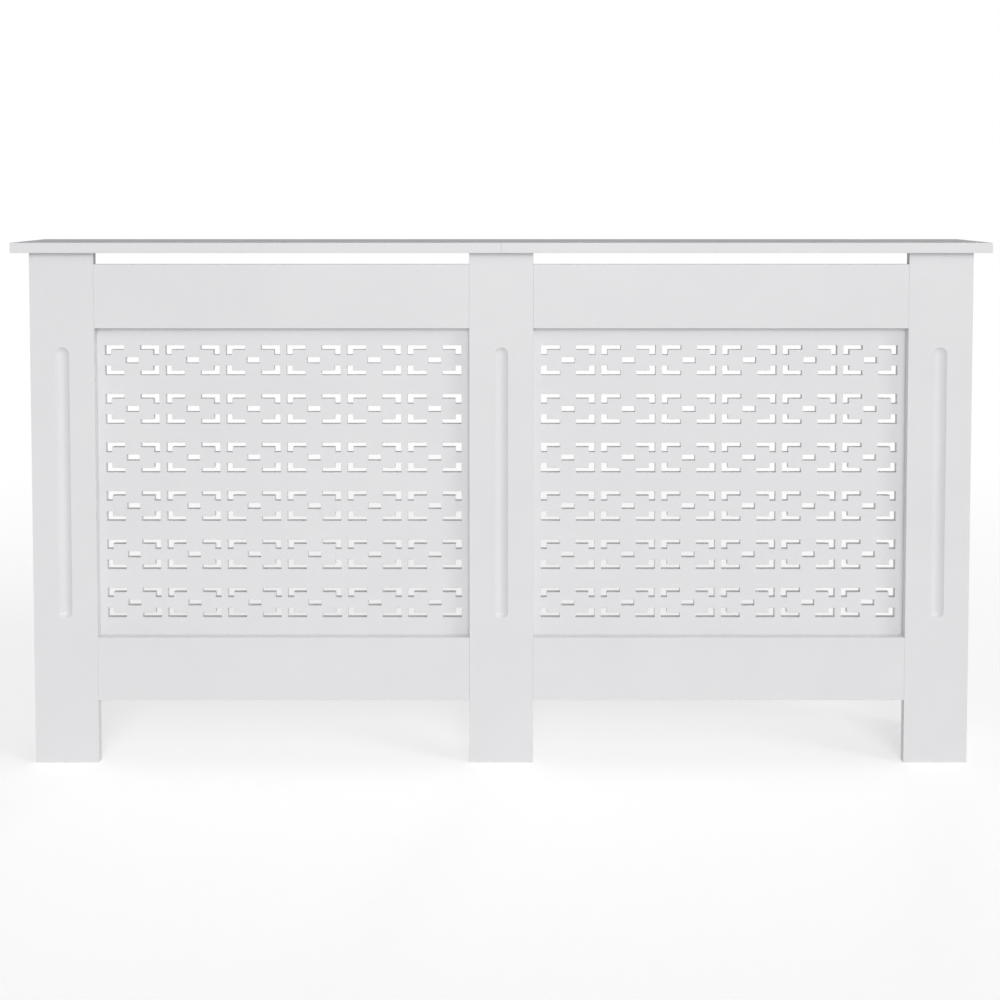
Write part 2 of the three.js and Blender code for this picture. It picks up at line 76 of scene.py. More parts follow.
def spots(material, scale, detail=4.0, stretch=(1, 1, 1)):
    # soft blotches about 1/scale metres across, in the piece's own metres
    place = addNode(material, "ShaderNodeTexCoord").outputs["Object"]
    mapping = addNode(material, "ShaderNodeMapping", {"Scale": stretch}, Vector=place)
    settings = {"Scale": scale, "Detail": detail, "Roughness": 0.6}
    noise = addNode(material, "ShaderNodeTexNoise", settings, Vector=mapping.outputs["Vector"])
    return noise.outputs["Fac"]


def spread(material, source, low, high):
    # the middle of a noise's range drawn out from low to high
    limits = {"From Min": 0.3, "From Max": 0.7, "To Min": low, "To Max": high}
    ramp = addNode(material, "ShaderNodeMapRange", limits, Value=source)
    return ramp.outputs["Result"]


def feed(material, socket, output):
    shader = material.node_tree.nodes["Principled BSDF"]
    material.node_tree.links.new(output, shader.inputs[socket])


def colourBy(material, source, tones):
    # the noise moves the colour between the dark and the light tone
    mix = material.node_tree.nodes.new("ShaderNodeMix")
    mix.data_type = "RGBA"
    share, dark, light = mix.inputs[0], mix.inputs[6], mix.inputs[7]   # a colour mix's sockets
    dark.default_value = (*tones["dark"], 1)
    light.default_value = (*tones["light"], 1)
    material.node_tree.links.new(spread(material, source, 0, 1), share)
    feed(material, "Base Color", mix.outputs[2])


def relief(material, sources, layers):
    # a layer is (strength, depth in metres) for one height source, the coarse one first
    normal = None
    for source, (strength, depth) in zip(sources, layers):
        values = {"Strength": strength, "Distance": depth}
        bump = addNode(material, "ShaderNodeBump", values, Height=source)
        if normal is not None:
            material.node_tree.links.new(normal, bump.inputs["Normal"])
        normal = bump.outputs["Normal"]
    feed(material, "Normal", normal)


# each finish: two tones, roughness from smooth to dull places, spots to a metre, then its relief
paint = {"dark": (0.768, 0.768, 0.781), "light": (0.791, 0.791, 0.803), "roughness": (0.30, 0.38),
         "gloss": 0.4, "clouds": 7, "waves": 60, "orangePeel": 520,
         "relief": ((0.10, 0.10 * mm), (0.16, 0.05 * mm))}


def makeWhitePaint():
    # sprayed satin paint: slow changes of tone, a few long soft waves and fine orange peel
    material = newMaterial("satinWhitePaint", paint["light"], gloss=paint["gloss"])
    clouds = spots(material, paint["clouds"], detail=3)
    waves = spots(material, paint["waves"], detail=3)
    peel = spots(material, paint["orangePeel"], detail=2)
    colourBy(material, clouds, paint)
    feed(material, "Roughness", spread(material, waves, *paint["roughness"]))
    relief(material, (waves, peel), paint["relief"])
    return material


fibreboard = {"dark": (0.36, 0.235, 0.14), "light": (0.50, 0.35, 0.225), "roughness": (0.8, 0.97),
              "gloss": 0.2, "fibres": 900, "fluff": 3200,
              "relief": ((0.5, 0.12 * mm), (0.4, 0.05 * mm))}


def makeBareFibreboard():
    # the brown core where the boards are drilled after painting
    material = newMaterial("bareFibreboard", fibreboard["light"], gloss=fibreboard["gloss"])
    fibres = spots(material, fibreboard["fibres"], detail=6, stretch=(1, 1, 3))
    fluff = spots(material, fibreboard["fluff"], detail=3)
    colourBy(material, fibres, fibreboard)
    feed(material, "Roughness", spread(material, fluff, *fibreboard["roughness"]))
    relief(material, (fibres, fluff), fibreboard["relief"])
    return material


zinc = {"dark": (0.47, 0.48, 0.50), "light": (0.64, 0.65, 0.67), "roughness": (0.38, 0.56),
        "flow": 420, "grain": 4000, "relief": ((0.25, 0.06 * mm), (0.3, 0.02 * mm))}


def makeCastZinc():
    # dull die casting with faint flow marks
    material = newMaterial("castZinc", zinc["light"], metallic=1.0)
    flow = spots(material, zinc["flow"], detail=5, stretch=(1, 1, 2.5))
    grain = spots(material, zinc["grain"], detail=2)
    colourBy(material, flow, zinc)
    feed(material, "Roughness", spread(material, flow, *zinc["roughness"]))
    relief(material, (flow, grain), zinc["relief"])
    return material


plating = {"dark": (0.62, 0.64, 0.67), "light": (0.75, 0.765, 0.79), "roughness": (0.30, 0.38),
           "clouds": 160, "lines": 900, "relief": ((0.15, 0.02 * mm),)}


def makePlatedSteel():
    # bright zinc plate, a little cloudy, with fine rolling marks
    material = newMaterial("platedSteel", plating["light"], metallic=1.0)
    clouds = spots(material, plating["clouds"], detail=4)
    lines = spots(material, plating["lines"], detail=3, stretch=(1, 6, 6))
    colourBy(material, clouds, plating)
    feed(material, "Roughness", spread(material, clouds, *plating["roughness"]))
    relief(material, (lines,), plating["relief"])
    return material


beech = {"dark": (0.50, 0.33, 0.18), "light": (0.70, 0.50, 0.31), "roughness": (0.6, 0.82),
         "gloss": 0.3, "grain": 420, "rays": 1500, "relief": ((0.3, 0.08 * mm), (0.3, 0.03 * mm))}


def makeBeech():
    # straight grain along the dowel with short darker rays
    material = newMaterial("bareBeech", beech["light"], gloss=beech["gloss"])
    grain = spots(material, beech["grain"], detail=5, stretch=(0.12, 1, 1))
    rays = spots(material, beech["rays"], detail=2, stretch=(0.25, 1, 1))
    colourBy(material, grain, beech)
    feed(material, "Roughness", spread(material, rays, *beech["roughness"]))
    relief(material, (grain, rays), beech["relief"])
    return material


nylon = {"dark": (0.76, 0.76, 0.74), "light": (0.84, 0.84, 0.82), "roughness": (0.36, 0.50),
         "gloss": 0.4, "clouds": 40, "texture": 2600, "relief": ((0.25, 0.03 * mm),)}


def makeNylon():
    # moulded plastic: an even satin with the mould's fine texture
    material = newMaterial("whiteNylon", nylon["light"], gloss=nylon["gloss"])
    clouds = spots(material, nylon["clouds"], detail=3)
    texture = spots(material, nylon["texture"], detail=2)
    colourBy(material, clouds, nylon)
    feed(material, "Roughness", spread(material, clouds, *nylon["roughness"]))
    relief(material, (texture,), nylon["relief"])
    return material


whitePaint = makeWhitePaint()
bareFibreboard = makeBareFibreboard()
castZinc = makeCastZinc()
platedSteel = makePlatedSteel()
bareBeech = makeBeech()
whiteNylon = makeNylon()
print("materials made")


def meshOf(build, materials, edgeRadius=0.0, steps=edgeSteps):
    # the finished mesh of a shape, its sharp edges eased by edgeRadius
    bmesh.ops.recalc_face_normals(build, faces=build.faces)
    if edgeRadius:
        sharp = [e for e in build.edges
                 if len(e.link_faces) == 2 and e.calc_face_angle() > sharpTurn]
        bmesh.ops.bevel(build, geom=sharp, offset=edgeRadius, segments=steps, profile=0.5,
                        affect="EDGES", clamp_overlap=False, loop_slide=True)
    mesh = bpy.data.meshes.new("shape")
    build.to_mesh(mesh)
    build.free()
    for material in materials:
        mesh.materials.append(material)
    return mesh


def slab(corners, along):
    # a flat outline drawn out along a vector
    build = bmesh.new()
    base = build.faces.new([build.verts.new(c) for c in corners])
    drawn = bmesh.ops.extrude_face_region(build, geom=[base])["geom"]
    farSide = [v for v in drawn if isinstance(v, bmesh.types.BMVert)]
    bmesh.ops.translate(build, verts=farSide, vec=along)
    bmesh.ops.recalc_face_normals(build, faces=build.faces)
    return build


def block(lo, hi):
    # a board between two opposite corners
    turns = ((lo[0], lo[1]), (hi[0], lo[1]), (hi[0], hi[1]), (lo[0], hi[1]))
    return slab([(x, y, lo[2]) for x, y in turns], (0, 0, hi[2] - lo[2]))


def rings(loops, closedEnds=True):
    # a skin over loops with the same number of points; a loop of one point is a tip
    build = bmesh.new()
    made = [[build.verts.new(p) for p in loop] for loop in loops]
    for a, b in zip(made, made[1:]):
        count = max(len(a), len(b))
        for i in range(count):
            j = (i + 1) % count
            corners = [a[0]] if len(a) == 1 else [a[i], a[j]]
            corners += [b[0]] if len(b) == 1 else [b[j], b[i]]
            build.faces.new(corners)
    for end in (made[0], made[-1]) if closedEnds else ():
        if len(end) > 2:
            build.faces.new(end)
    bmesh.ops.recalc_face_normals(build, faces=build.faces)
    return build


def turned(profile, facets=32):
    # a turned shape about its own +Z from (radius, height) pairs
    loops = []
    for radius, height in profile:
        if radius == 0:
            loops.append([(0, 0, height)])
            continue
        angles = [2 * math.pi * i / facets for i in range(facets)]
        loops.append([(radius * math.cos(a), radius * math.sin(a), height) for a in angles])
    return rings(loops)


def aimed(point, direction):
    # the placing that puts a shape's origin on point and its +Z along direction
    turn = Vector(direction).to_track_quat("Z", "Y").to_matrix().to_4x4()
    return Matrix.Translation(point) @ turn


def bore(point, direction, radius, depth, flare=0.0, facets=boreFacets):
    # a drill for a hole that starts on a face at point; its walls show bare board
    profile = [(radius + flare, -past), (radius + flare, 0), (radius, flare), (radius, depth)]
    if not flare:
        profile = [(radius, -past), (radius, depth)]
    build = turned(profile, facets)
    build.transform(aimed(point, direction))
    for face in build.faces:
        face.material_index = 1
    return build


def carved(blank, cutters):
    # the blank with each cutter taken out of it in turn
    host = bpy.data.objects.new("blank", blank)
    scene.collection.objects.link(host)
    tools = []
    for cutter in cutters:
        if isinstance(cutter, bmesh.types.BMesh):
            cutter = meshOf(cutter, blank.materials)
        tool = bpy.data.objects.new("cutter", cutter)
        scene.collection.objects.link(tool)
        tool.hide_render = True
        taking = host.modifiers.new("cut", "BOOLEAN")
        taking.operation, taking.solver, taking.object = "DIFFERENCE", "EXACT", tool
        taking.material_mode = "INDEX"
        tools.append(tool)
    graph = bpy.context.evaluated_depsgraph_get()
    mesh = bpy.data.meshes.new_from_object(host.evaluated_get(graph), depsgraph=graph)
    for tool in [host, *tools]:
        bpy.data.objects.remove(tool)
    return mesh


def addPiece(name, mesh, body="cover", node=None, placing=None, flat=False):
    # a finished piece in the scene, riding on its body and standing for its CAD node
    if placing is not None:
        mesh = mesh.copy()
        mesh.transform(placing)
        if placing.determinant() < 0:
            mesh.flip_normals()
    mesh.name = name
    mesh.polygons.foreach_set("use_smooth", [not flat] * len(mesh.polygons))
    if not flat:
        mesh.set_sharp_from_angle(angle=smoothTurn)
    piece = bpy.data.objects.new(name, mesh)
    scene.collection.objects.link(piece)
    if not flat:
        shading = piece.modifiers.new("evenFaces", "WEIGHTED_NORMAL")
        shading.keep_sharp = True
    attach(piece, body)
    if node:
        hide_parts(node)
    return piece


def middleOf(node):
    lo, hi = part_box(node)
    return (lo + hi) / 2


boardSkins = [whitePaint, bareFibreboard]
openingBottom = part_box("left_bottom_rail")[1][2]
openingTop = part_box("left_top_rail")[0][2]
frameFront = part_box("left_front_post")[0][1]
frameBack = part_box("left_front_post")[1][1]
railEnds = [(bay, level, where) for bay in ("left", "right") for level in ("bottom", "top")
            for where in ("outer", "inner")]


# front posts, each with a routed flute
post = {"edge": 0.4 * mm, "fluteWidth": 21 * mm, "fluteDepth": 5.5 * mm, "fluteToRails": 30 * mm,
        "rimEasing": 1.2 * mm, "rimStart": 0.01 * mm, "coveSteps": 14, "rimSteps": 5,
        "turnSteps": 24,
        # the radius of each drilled hole and its depth
        "threadBore": 3.3 * mm, "threadDepth": 12.3 * mm, "dowelBore": 4.3 * mm,
        "dowelDepth": 15.3 * mm, "sideDowelDepth": 10.3 * mm, "pilotBore": 2.05 * mm,
        "pilotDepth": 11.3 * mm}


def fluteCutter(x):
    # the routed groove: a shallow round cove with round ends and slightly eased rims
    half, depth = post["fluteWidth"] / 2, post["fluteDepth"]
    radius = (half ** 2 + depth ** 2) / (2 * depth)
    rim = post["rimEasing"]
    steep = math.asin(half / radius)
    rimReach = half + rim * math.tan(steep / 2)
    section = []
    coveSteps, rimSteps, turnSteps = post["coveSteps"], post["rimSteps"], post["turnSteps"]
    widest = rimReach - rim * math.sin(steep)
    for i in range(1, coveSteps + 1):
        r = widest * i / coveSteps
        section.append((r, depth - radius + math.sqrt(radius ** 2 - r ** 2)))
    for i in range(1, rimSteps):
        a = steep * (1 - i / rimSteps)
        section.append((rimReach - rim * math.sin(a), rim - rim * math.cos(a)))
    section += [(rimReach, post["rimStart"]), (rimReach, -past)]
    low = openingBottom + post["fluteToRails"] + half
    high = openingTop - post["fluteToRails"] - half

    def stadium(r, y):
        points = []
        for centre, start in ((high, 0), (low, math.pi)):
            for i in range(turnSteps + 1):
                a = start + math.pi * i / turnSteps
                points.append((x + r * math.cos(a), y, centre + r * math.sin(a)))
        return points

    loops = [stadium(r, frameFront + d) for r, d in section]
    build = rings(loops, closedEnds=False)
    build.verts.ensure_lookup_table()
    inner = [build.verts[i] for i in range(2 * (turnSteps + 1))]
    outer = [build.verts[-1 - i] for i in range(2 * (turnSteps + 1))]
    top = build.verts.new((x, frameFront + depth, high))
    bottom = build.verts.new((x, frameFront + depth, low))
    # the groove's floor line joins the middles of its two round ends
    for end, ring in ((top, inner[:turnSteps + 1]), (bottom, inner[turnSteps + 1:])):
        for a, b in zip(ring, ring[1:]):
            build.faces.new((end, a, b))
    build.faces.new((top, inner[turnSteps], inner[turnSteps + 1], bottom))
    build.faces.new((bottom, inner[-1], inner[0], top))
    build.faces.new(outer)
    bmesh.ops.recalc_face_normals(build, faces=build.faces)
    return build


def makePost(node, edges, sideAt=None):
    lo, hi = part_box(node)
    middleY = (lo[1] + hi[1]) / 2
    cutters = [fluteCutter((lo[0] + hi[0]) / 2)]
    for x, inward, bay, where in edges:
        for level in ("bottom", "top"):
            bolt = middleOf(f"{bay}_{level}_{where}_cam_bolt").z
            dowel = middleOf(f"{bay}_{level}_{where}_dowel").z
            cutters.append(bore((x, middleY, bolt), (inward, 0, 0), post["threadBore"],
                                post["threadDepth"]))
            cutters.append(bore((x, middleY, dowel), (inward, 0, 0), post["dowelBore"],
                                post["dowelDepth"]))
        for level in ("lower", "upper"):
            screw = middleOf(f"{bay}_{where}_{level}_screw")
            cutters.append(bore((screw.x, hi[1], screw.z), (0, -1, 0), post["pilotBore"],
                                post["pilotDepth"]))
    if sideAt:
        for level in ("lower", "upper"):
            dowel = middleOf(f"{sideAt}_side_{level}_dowel")
            cutters.append(bore((dowel.x, hi[1], dowel.z), (0, -1, 0), post["dowelBore"],
                                post["sideDowelDepth"]))
    blank = meshOf(block(lo, hi), boardSkins, post["edge"])
    addPiece(f"{node}_fluted", carved(blank, cutters), node=node)


def makePosts():
    left, centre, right = (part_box(f"{side}_front_post") for side in ("left", "centre", "right"))
    makePost("left_front_post", [(left[1][0], -1, "left", "outer")], "left")
    makePost("centre_front_post",
             [(centre[0][0], 1, "left", "inner"), (centre[1][0], -1, "right", "inner")])
    makePost("right_front_post", [(right[0][0], 1, "right", "outer")], "right")
    print("posts made")


# rails, drilled at the back for the cam locks
rail = {"edge": 0.4 * mm, "joint": 0.07 * mm, "camBore": 7.62 * mm, "camDepth": 12.5 * mm,
        "camFlare": 0.35 * mm, "camFacets": 64, "boltBore": 4.0 * mm, "dowelBore": 4.3 * mm,
        "dowelDepth": 15 * mm}


def buttedTo(lo, hi, joint):
    # the two corners of a rail, drawn out until its ends butt on the posts beside it
    posts = [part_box(f"{side}_front_post") for side in ("left", "centre", "right")]
    before = max(box[1].x for box in posts if box[1].x <= lo[0])
    after = min(box[0].x for box in posts if box[0].x >= hi[0])
    return (before + joint, lo[1], lo[2]), (after - joint, hi[1], hi[2])


def makeRails():
    for bay in ("left", "right"):
        for level in ("bottom", "top"):
            node = f"{bay}_{level}_rail"
            lo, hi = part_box(node)
            middleY = (lo[1] + hi[1]) / 2
            cutters = []
            for where in ("outer", "inner"):
                cam = middleOf(f"{bay}_{level}_{where}_cam")
                dowel = middleOf(f"{bay}_{level}_{where}_dowel").z
                atLow = abs(cam.x - lo[0]) < abs(cam.x - hi[0])
                x, inward = (lo[0], 1) if atLow else (hi[0], -1)
                cutters.append(bore((x, middleY, cam.z), (inward, 0, 0), rail["boltBore"],
                                    abs(cam.x - x)))
                cutters.append(bore((x, middleY, dowel), (inward, 0, 0), rail["dowelBore"],
                                    rail["dowelDepth"]))
                cutters.append(bore((cam.x, hi[1], cam.z), (0, -1, 0), rail["camBore"],
                                    rail["camDepth"], rail["camFlare"], rail["camFacets"]))
            full = block(*buttedTo(lo, hi, rail["joint"]))
            blank = meshOf(full, boardSkins, rail["edge"])
            addPiece(f"{node}_drilled", carved(blank, cutters), node=node)
    print("rails made")


# cam locks, their bolts and the dowels
cam = {"radius": 7.31 * mm, "top": -0.3 * mm, "floor": -12.2 * mm, "axis": -8 * mm,
       "track": 6.21 * mm, "rise": 0.5 * mm, "boss": 1.5 * mm, "headRoom": 3.9 * mm,
       "neckRoom": 2.5 * mm, "turn": 180, "rim": 0.35 * mm, "rimMiddle": 0.3, "facets": 96,
       "leastSteps": 6, "stepTurn": 6,
       "cross": (6.4 * mm, 1.2 * mm, 2.2 * mm),             # length, width and depth
       "arrow": (4.7 * mm, 6.5 * mm, 1.2 * mm, 0.5 * mm),   # foot, tip, half its width and depth
       "boltHead": (3.4 * mm, 1.9 * mm),                    # radius, how near the middle it ends
       "sweepMargin": 5}   # turn, stepTurn and sweepMargin in degrees


def sector(start, end, inner, outerStart, outerEnd, bottom, top):
    # a slab shaped as part of a ring; its outer radius grows evenly from start to end, in degrees
    steps = max(cam["leastSteps"], int(abs(start - end) / cam["stepTurn"]))
    outside, inside = [], []
    for i in range(steps + 1):
        a = math.radians(start + (end - start) * i / steps)
        r = outerStart + (outerEnd - outerStart) * i / steps
        outside.append((r * math.cos(a), r * math.sin(a), bottom))
        inside.insert(0, (inner * math.cos(a), inner * math.sin(a), bottom))
    return slab(outside + inside, (0, 0, top - bottom))


def camMesh():
    # head up on +Z, the bolt coming in from +X while the cam is locked
    under = cam["floor"] - past
    trackTop = cam["axis"] + cam["headRoom"]
    outside = cam["radius"] + past
    inside = cam["track"] - past
    sweep = math.degrees(math.atan2(*cam["boltHead"])) + cam["sweepMargin"]
    neck = math.degrees(math.asin(cam["neckRoom"] / cam["track"]))
    mouth = math.degrees(math.asin(cam["headRoom"] / cam["track"]))
    turn = cam["turn"]
    rim = cam["rim"]
    eased = cam["rimMiddle"] * rim   # the rim is eased through one point of its round
    body = turned([(cam["radius"], cam["floor"]), (cam["radius"], cam["top"] - rim),
                   (cam["radius"] - eased, cam["top"] - eased),
                   (cam["radius"] - rim, cam["top"])], cam["facets"])
    long, wide, deep = cam["cross"]
    crossTop, crossFloor = cam["top"] + past, cam["top"] - deep
    foot, tip, halfArrow, arrowDepth = cam["arrow"]
    arrowFloor = cam["top"] - arrowDepth
    neckLow, neckHigh = cam["axis"] - cam["neckRoom"], cam["axis"] + cam["neckRoom"]
    cutters = [
        sector(sweep, -turn - sweep, cam["boss"], cam["track"], cam["track"] + cam["rise"], under,
               trackTop),
        sector(neck, -turn - neck, inside, outside, outside, neckLow, neckHigh),
        sector(mouth - turn, -turn - mouth, inside, outside, outside, under, trackTop),
        block((-long / 2, -wide / 2, crossFloor), (long / 2, wide / 2, crossTop)),
        block((-wide / 2, -long / 2, crossFloor), (wide / 2, long / 2, crossTop)),
        slab([(tip, 0, arrowFloor), (foot, halfArrow, arrowFloor), (foot, -halfArrow, arrowFloor)],
             (0, 0, arrowDepth + past)),
    ]
    return carved(meshOf(body, [castZinc]), cutters)


threadShape = ((0, 0.12), (1, 0.42), (1, 0.58), (0, 0.88))   # root 0 to crest 1, along one pitch


def ringed(root, crest, start, end, pitch):
    # a threaded stretch as (radius, height) pairs
    turns = int((end - start) / pitch)
    pairs = []
    for i in range(turns):
        z = start + (end - start) * i / turns
        pairs += [(root + (crest - root) * out, z + along * pitch) for out, along in threadShape]
    return pairs


bolt = {"thread": 3.0 * mm, "root": 2.45 * mm, "length": 12 * mm, "pitch": 1.6 * mm,
        "tip": 1.6 * mm, "shank": 3.5 * mm, "shoulder": 0.8 * mm, "neck": 2.0 * mm,
        "head": 3.4 * mm, "easing": 0.3 * mm, "neckStart": 25.29 * mm, "headStart": 29.1 * mm,
        "end": 32.1 * mm, "facets": 40}


def boltMesh():
    # stands on its own +Z: the thread below the post's edge at 0, the head at the cam
    ease = bolt["easing"]
    profile = [(0, -bolt["length"]), (bolt["tip"], -bolt["length"])]
    profile += ringed(bolt["root"], bolt["thread"], 2 * ease - bolt["length"], -ease,
                      bolt["pitch"])
    profile += [(bolt["shank"] - ease, 0), (bolt["shank"], ease),
                (bolt["shank"], bolt["neckStart"] - bolt["shoulder"]),
                (bolt["neck"], bolt["neckStart"]), (bolt["neck"], bolt["headStart"] - ease),
                (bolt["neck"] + ease, bolt["headStart"]),
                (bolt["head"] - ease, bolt["headStart"]), (bolt["head"], bolt["headStart"] + ease),
                (bolt["head"], bolt["end"] - 2 * ease), (bolt["head"] - 2 * ease, bolt["end"]),
                (0, bolt["end"])]
    return meshOf(turned(profile, bolt["facets"]), [platedSteel])


dowel = {"radius": 4.0 * mm, "groove": 0.22 * mm, "grooves": 20, "pointsEach": 4,
         "length": 30 * mm, "chamfer": 1.0 * mm}


def dowelMesh():
    # a grooved beech dowel along its own +Z, about its middle
    loops = []
    half, radiusAtEnd = dowel["length"] / 2, dowel["radius"] - dowel["chamfer"]
    points = dowel["grooves"] * dowel["pointsEach"]
    for radius, z in ((radiusAtEnd, -half), (dowel["radius"], dowel["chamfer"] - half),
                      (dowel["radius"], half - dowel["chamfer"]), (radiusAtEnd, half)):
        loop = []
        for i in range(points):
            a = 2 * math.pi * i / points
            r = radius - (dowel["groove"] if i % dowel["pointsEach"] == 0 else 0)
            loop.append((r * math.cos(a), r * math.sin(a), z))
        loops.append(loop)
    return meshOf(rings(loops), [bareBeech])


def makeCamLocks():
    camShape, boltShape, dowelShape = camMesh(), boltMesh(), dowelMesh()
    middleY = (frameFront + frameBack) / 2
    for bay, level, where in railEnds:
        prefix = f"{bay}_{level}_{where}"
        camPlace = middleOf(f"{prefix}_cam")
        dowelPlace = middleOf(f"{prefix}_dowel")
        into = 1 if camPlace.x > dowelPlace.x else -1   # from the post's edge into the rail
        facing = Matrix.Rotation(math.pi if into > 0 else 0, 4, "Z")
        turn = Matrix.Rotation(-math.pi / 2, 4, "X") @ facing
        addPiece(f"{prefix}_cam_cast", camShape, f"{prefix}_cam", f"{prefix}_cam",
                 Matrix.Translation((camPlace.x, frameBack, camPlace.z)) @ turn)
        addPiece(f"{prefix}_cam_bolt_plated", boltShape, node=f"{prefix}_cam_bolt",
                 placing=aimed((dowelPlace.x, middleY, camPlace.z), (into, 0, 0)))
        addPiece(f"{prefix}_dowel_grooved", dowelShape, node=f"{prefix}_dowel",
                 placing=aimed(dowelPlace, (into, 0, 0)))
    for side in ("left", "right"):
        for level in ("lower", "upper"):
            node = f"{side}_side_{level}_dowel"
            addPiece(f"{node}_grooved", dowelShape, node=node,
                     placing=aimed(middleOf(node), (0, 1, 0)))
    print("cam locks and dowels made")


# the two fretwork boards behind the rails
fretwork = {"columns": 6, "rows": 6, "unitWidth": 85 * mm, "unitHeight": 47 * mm, "gapX": 10 * mm,
            "gapZ": 30 * mm, "armLength": 30 * mm, "armHeight": 15 * mm, "levelSlot": 7 * mm,
            "uprightSlot": 9.5 * mm, "dashLength": 20.5 * mm, "dashWidth": 9.5 * mm,
            "easing": 0.35 * mm, "screwHole": 2.05 * mm, "screwDepth": 13 * mm}


def unitOpenings(x, z):
    # the rectangles that are cut out for one unit of the pattern, about its middle
    halfX, halfZ = fretwork["unitWidth"] / 2, fretwork["unitHeight"] / 2
    found = []
    for right in (-1, 1):
        for up in (-1, 1):
            cornerX, cornerZ = x + right * halfX, z + up * halfZ
            for width, height in ((fretwork["armLength"], fretwork["levelSlot"]),
                                  (fretwork["uprightSlot"], fretwork["armHeight"])):
                xs = sorted((cornerX, cornerX - right * width))
                zs = sorted((cornerZ, cornerZ - up * height))
                found.append((*xs, *zs))
    length, width = fretwork["dashLength"] / 2, fretwork["dashWidth"] / 2
    found.append((x - length, x + length, z - width, z + width))
    return found


def inOrder(values):
    # each different value once, from the lowest up
    return sorted({round(v, sameTo) for v in values})


def makeGrille(node):
    lo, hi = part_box(node)
    centreX, centreZ = (lo[0] + hi[0]) / 2, (openingBottom + openingTop) / 2
    pitchX = fretwork["unitWidth"] + fretwork["gapX"]
    pitchZ = fretwork["unitHeight"] + fretwork["gapZ"]
    firstX = centreX - pitchX * (fretwork["columns"] - 1) / 2
    firstZ = centreZ - pitchZ * (fretwork["rows"] - 1) / 2
    openings = []
    for row in range(fretwork["rows"]):
        for column in range(fretwork["columns"]):
            openings += unitOpenings(firstX + column * pitchX, firstZ + row * pitchZ)
    xs = inOrder([lo[0], hi[0]] + [v for o in openings for v in o[:2]])
    zs = inOrder([lo[2], hi[2]] + [v for o in openings for v in o[2:]])
    isOpen = [[False] * (len(zs) - 1) for _ in range(len(xs) - 1)]
    for x0, x1, z0, z1 in openings:
        for i in range(xs.index(round(x0, sameTo)), xs.index(round(x1, sameTo))):
            for k in range(zs.index(round(z0, sameTo)), zs.index(round(z1, sameTo))):
                isOpen[i][k] = True
    build = bmesh.new()
    known = {}

    def corner(i, k, y):
        if (i, k, y) not in known:
            known[i, k, y] = build.verts.new((xs[i], y, zs[k]))
        return known[i, k, y]

    def solid(i, k):
        return 0 <= i < len(xs) - 1 and 0 <= k < len(zs) - 1 and not isOpen[i][k]

    front, back = lo[1], hi[1]
    for i in range(len(xs) - 1):
        for k in range(len(zs) - 1):
            if not solid(i, k):
                continue
            lowLeft, lowRight = (i, k), (i + 1, k)
            highLeft, highRight = (i, k + 1), (i + 1, k + 1)
            for y in (front, back):
                build.faces.new([corner(*c, y) for c in (lowLeft, lowRight, highRight, highLeft)])
            for beside, a, b in (((i - 1, k), lowLeft, highLeft),
                                 ((i + 1, k), lowRight, highRight),
                                 ((i, k - 1), lowLeft, lowRight),
                                 ((i, k + 1), highLeft, highRight)):
                if not solid(*beside):
                    build.faces.new([corner(*a, front), corner(*b, front), corner(*b, back),
                                     corner(*a, back)])
    bmesh.ops.recalc_face_normals(build, faces=build.faces)
    rims = [e for e in build.edges if e.calc_face_angle() > sharpTurn
            and abs(e.verts[0].co.y - e.verts[1].co.y) < (back - front) / 2]
    bmesh.ops.bevel(build, geom=rims, offset=fretwork["easing"], segments=1, profile=0.5,
                    affect="EDGES", clamp_overlap=False, loop_slide=True)
    blank = meshOf(build, boardSkins)
    bay = node.split("_")[0]
    cutters = []
    for where in ("outer", "inner"):
        for level in ("lower", "upper"):
            screw = middleOf(f"{bay}_{where}_{level}_screw")
            cutters.append(bore((screw.x, hi[1], screw.z), (0, -1, 0), fretwork["screwHole"],
                                fretwork["screwDepth"]))
    addPiece(f"{node}_fretwork", carved(blank, cutters), node=node)


def makeGrilles():
    makeGrille("left_grille_board")
    makeGrille("right_grille_board")
    print("fretwork boards made")


# sides, top boards and gusset
board = {"edge": 0.5 * mm, "topEdge": 0.45 * mm, "topJoint": 0.06 * mm, "notchDepth": 15 * mm,
         "notchHeight": 110 * mm, "gussetNose": 30 * mm, "dowelDepth": 20 * mm}


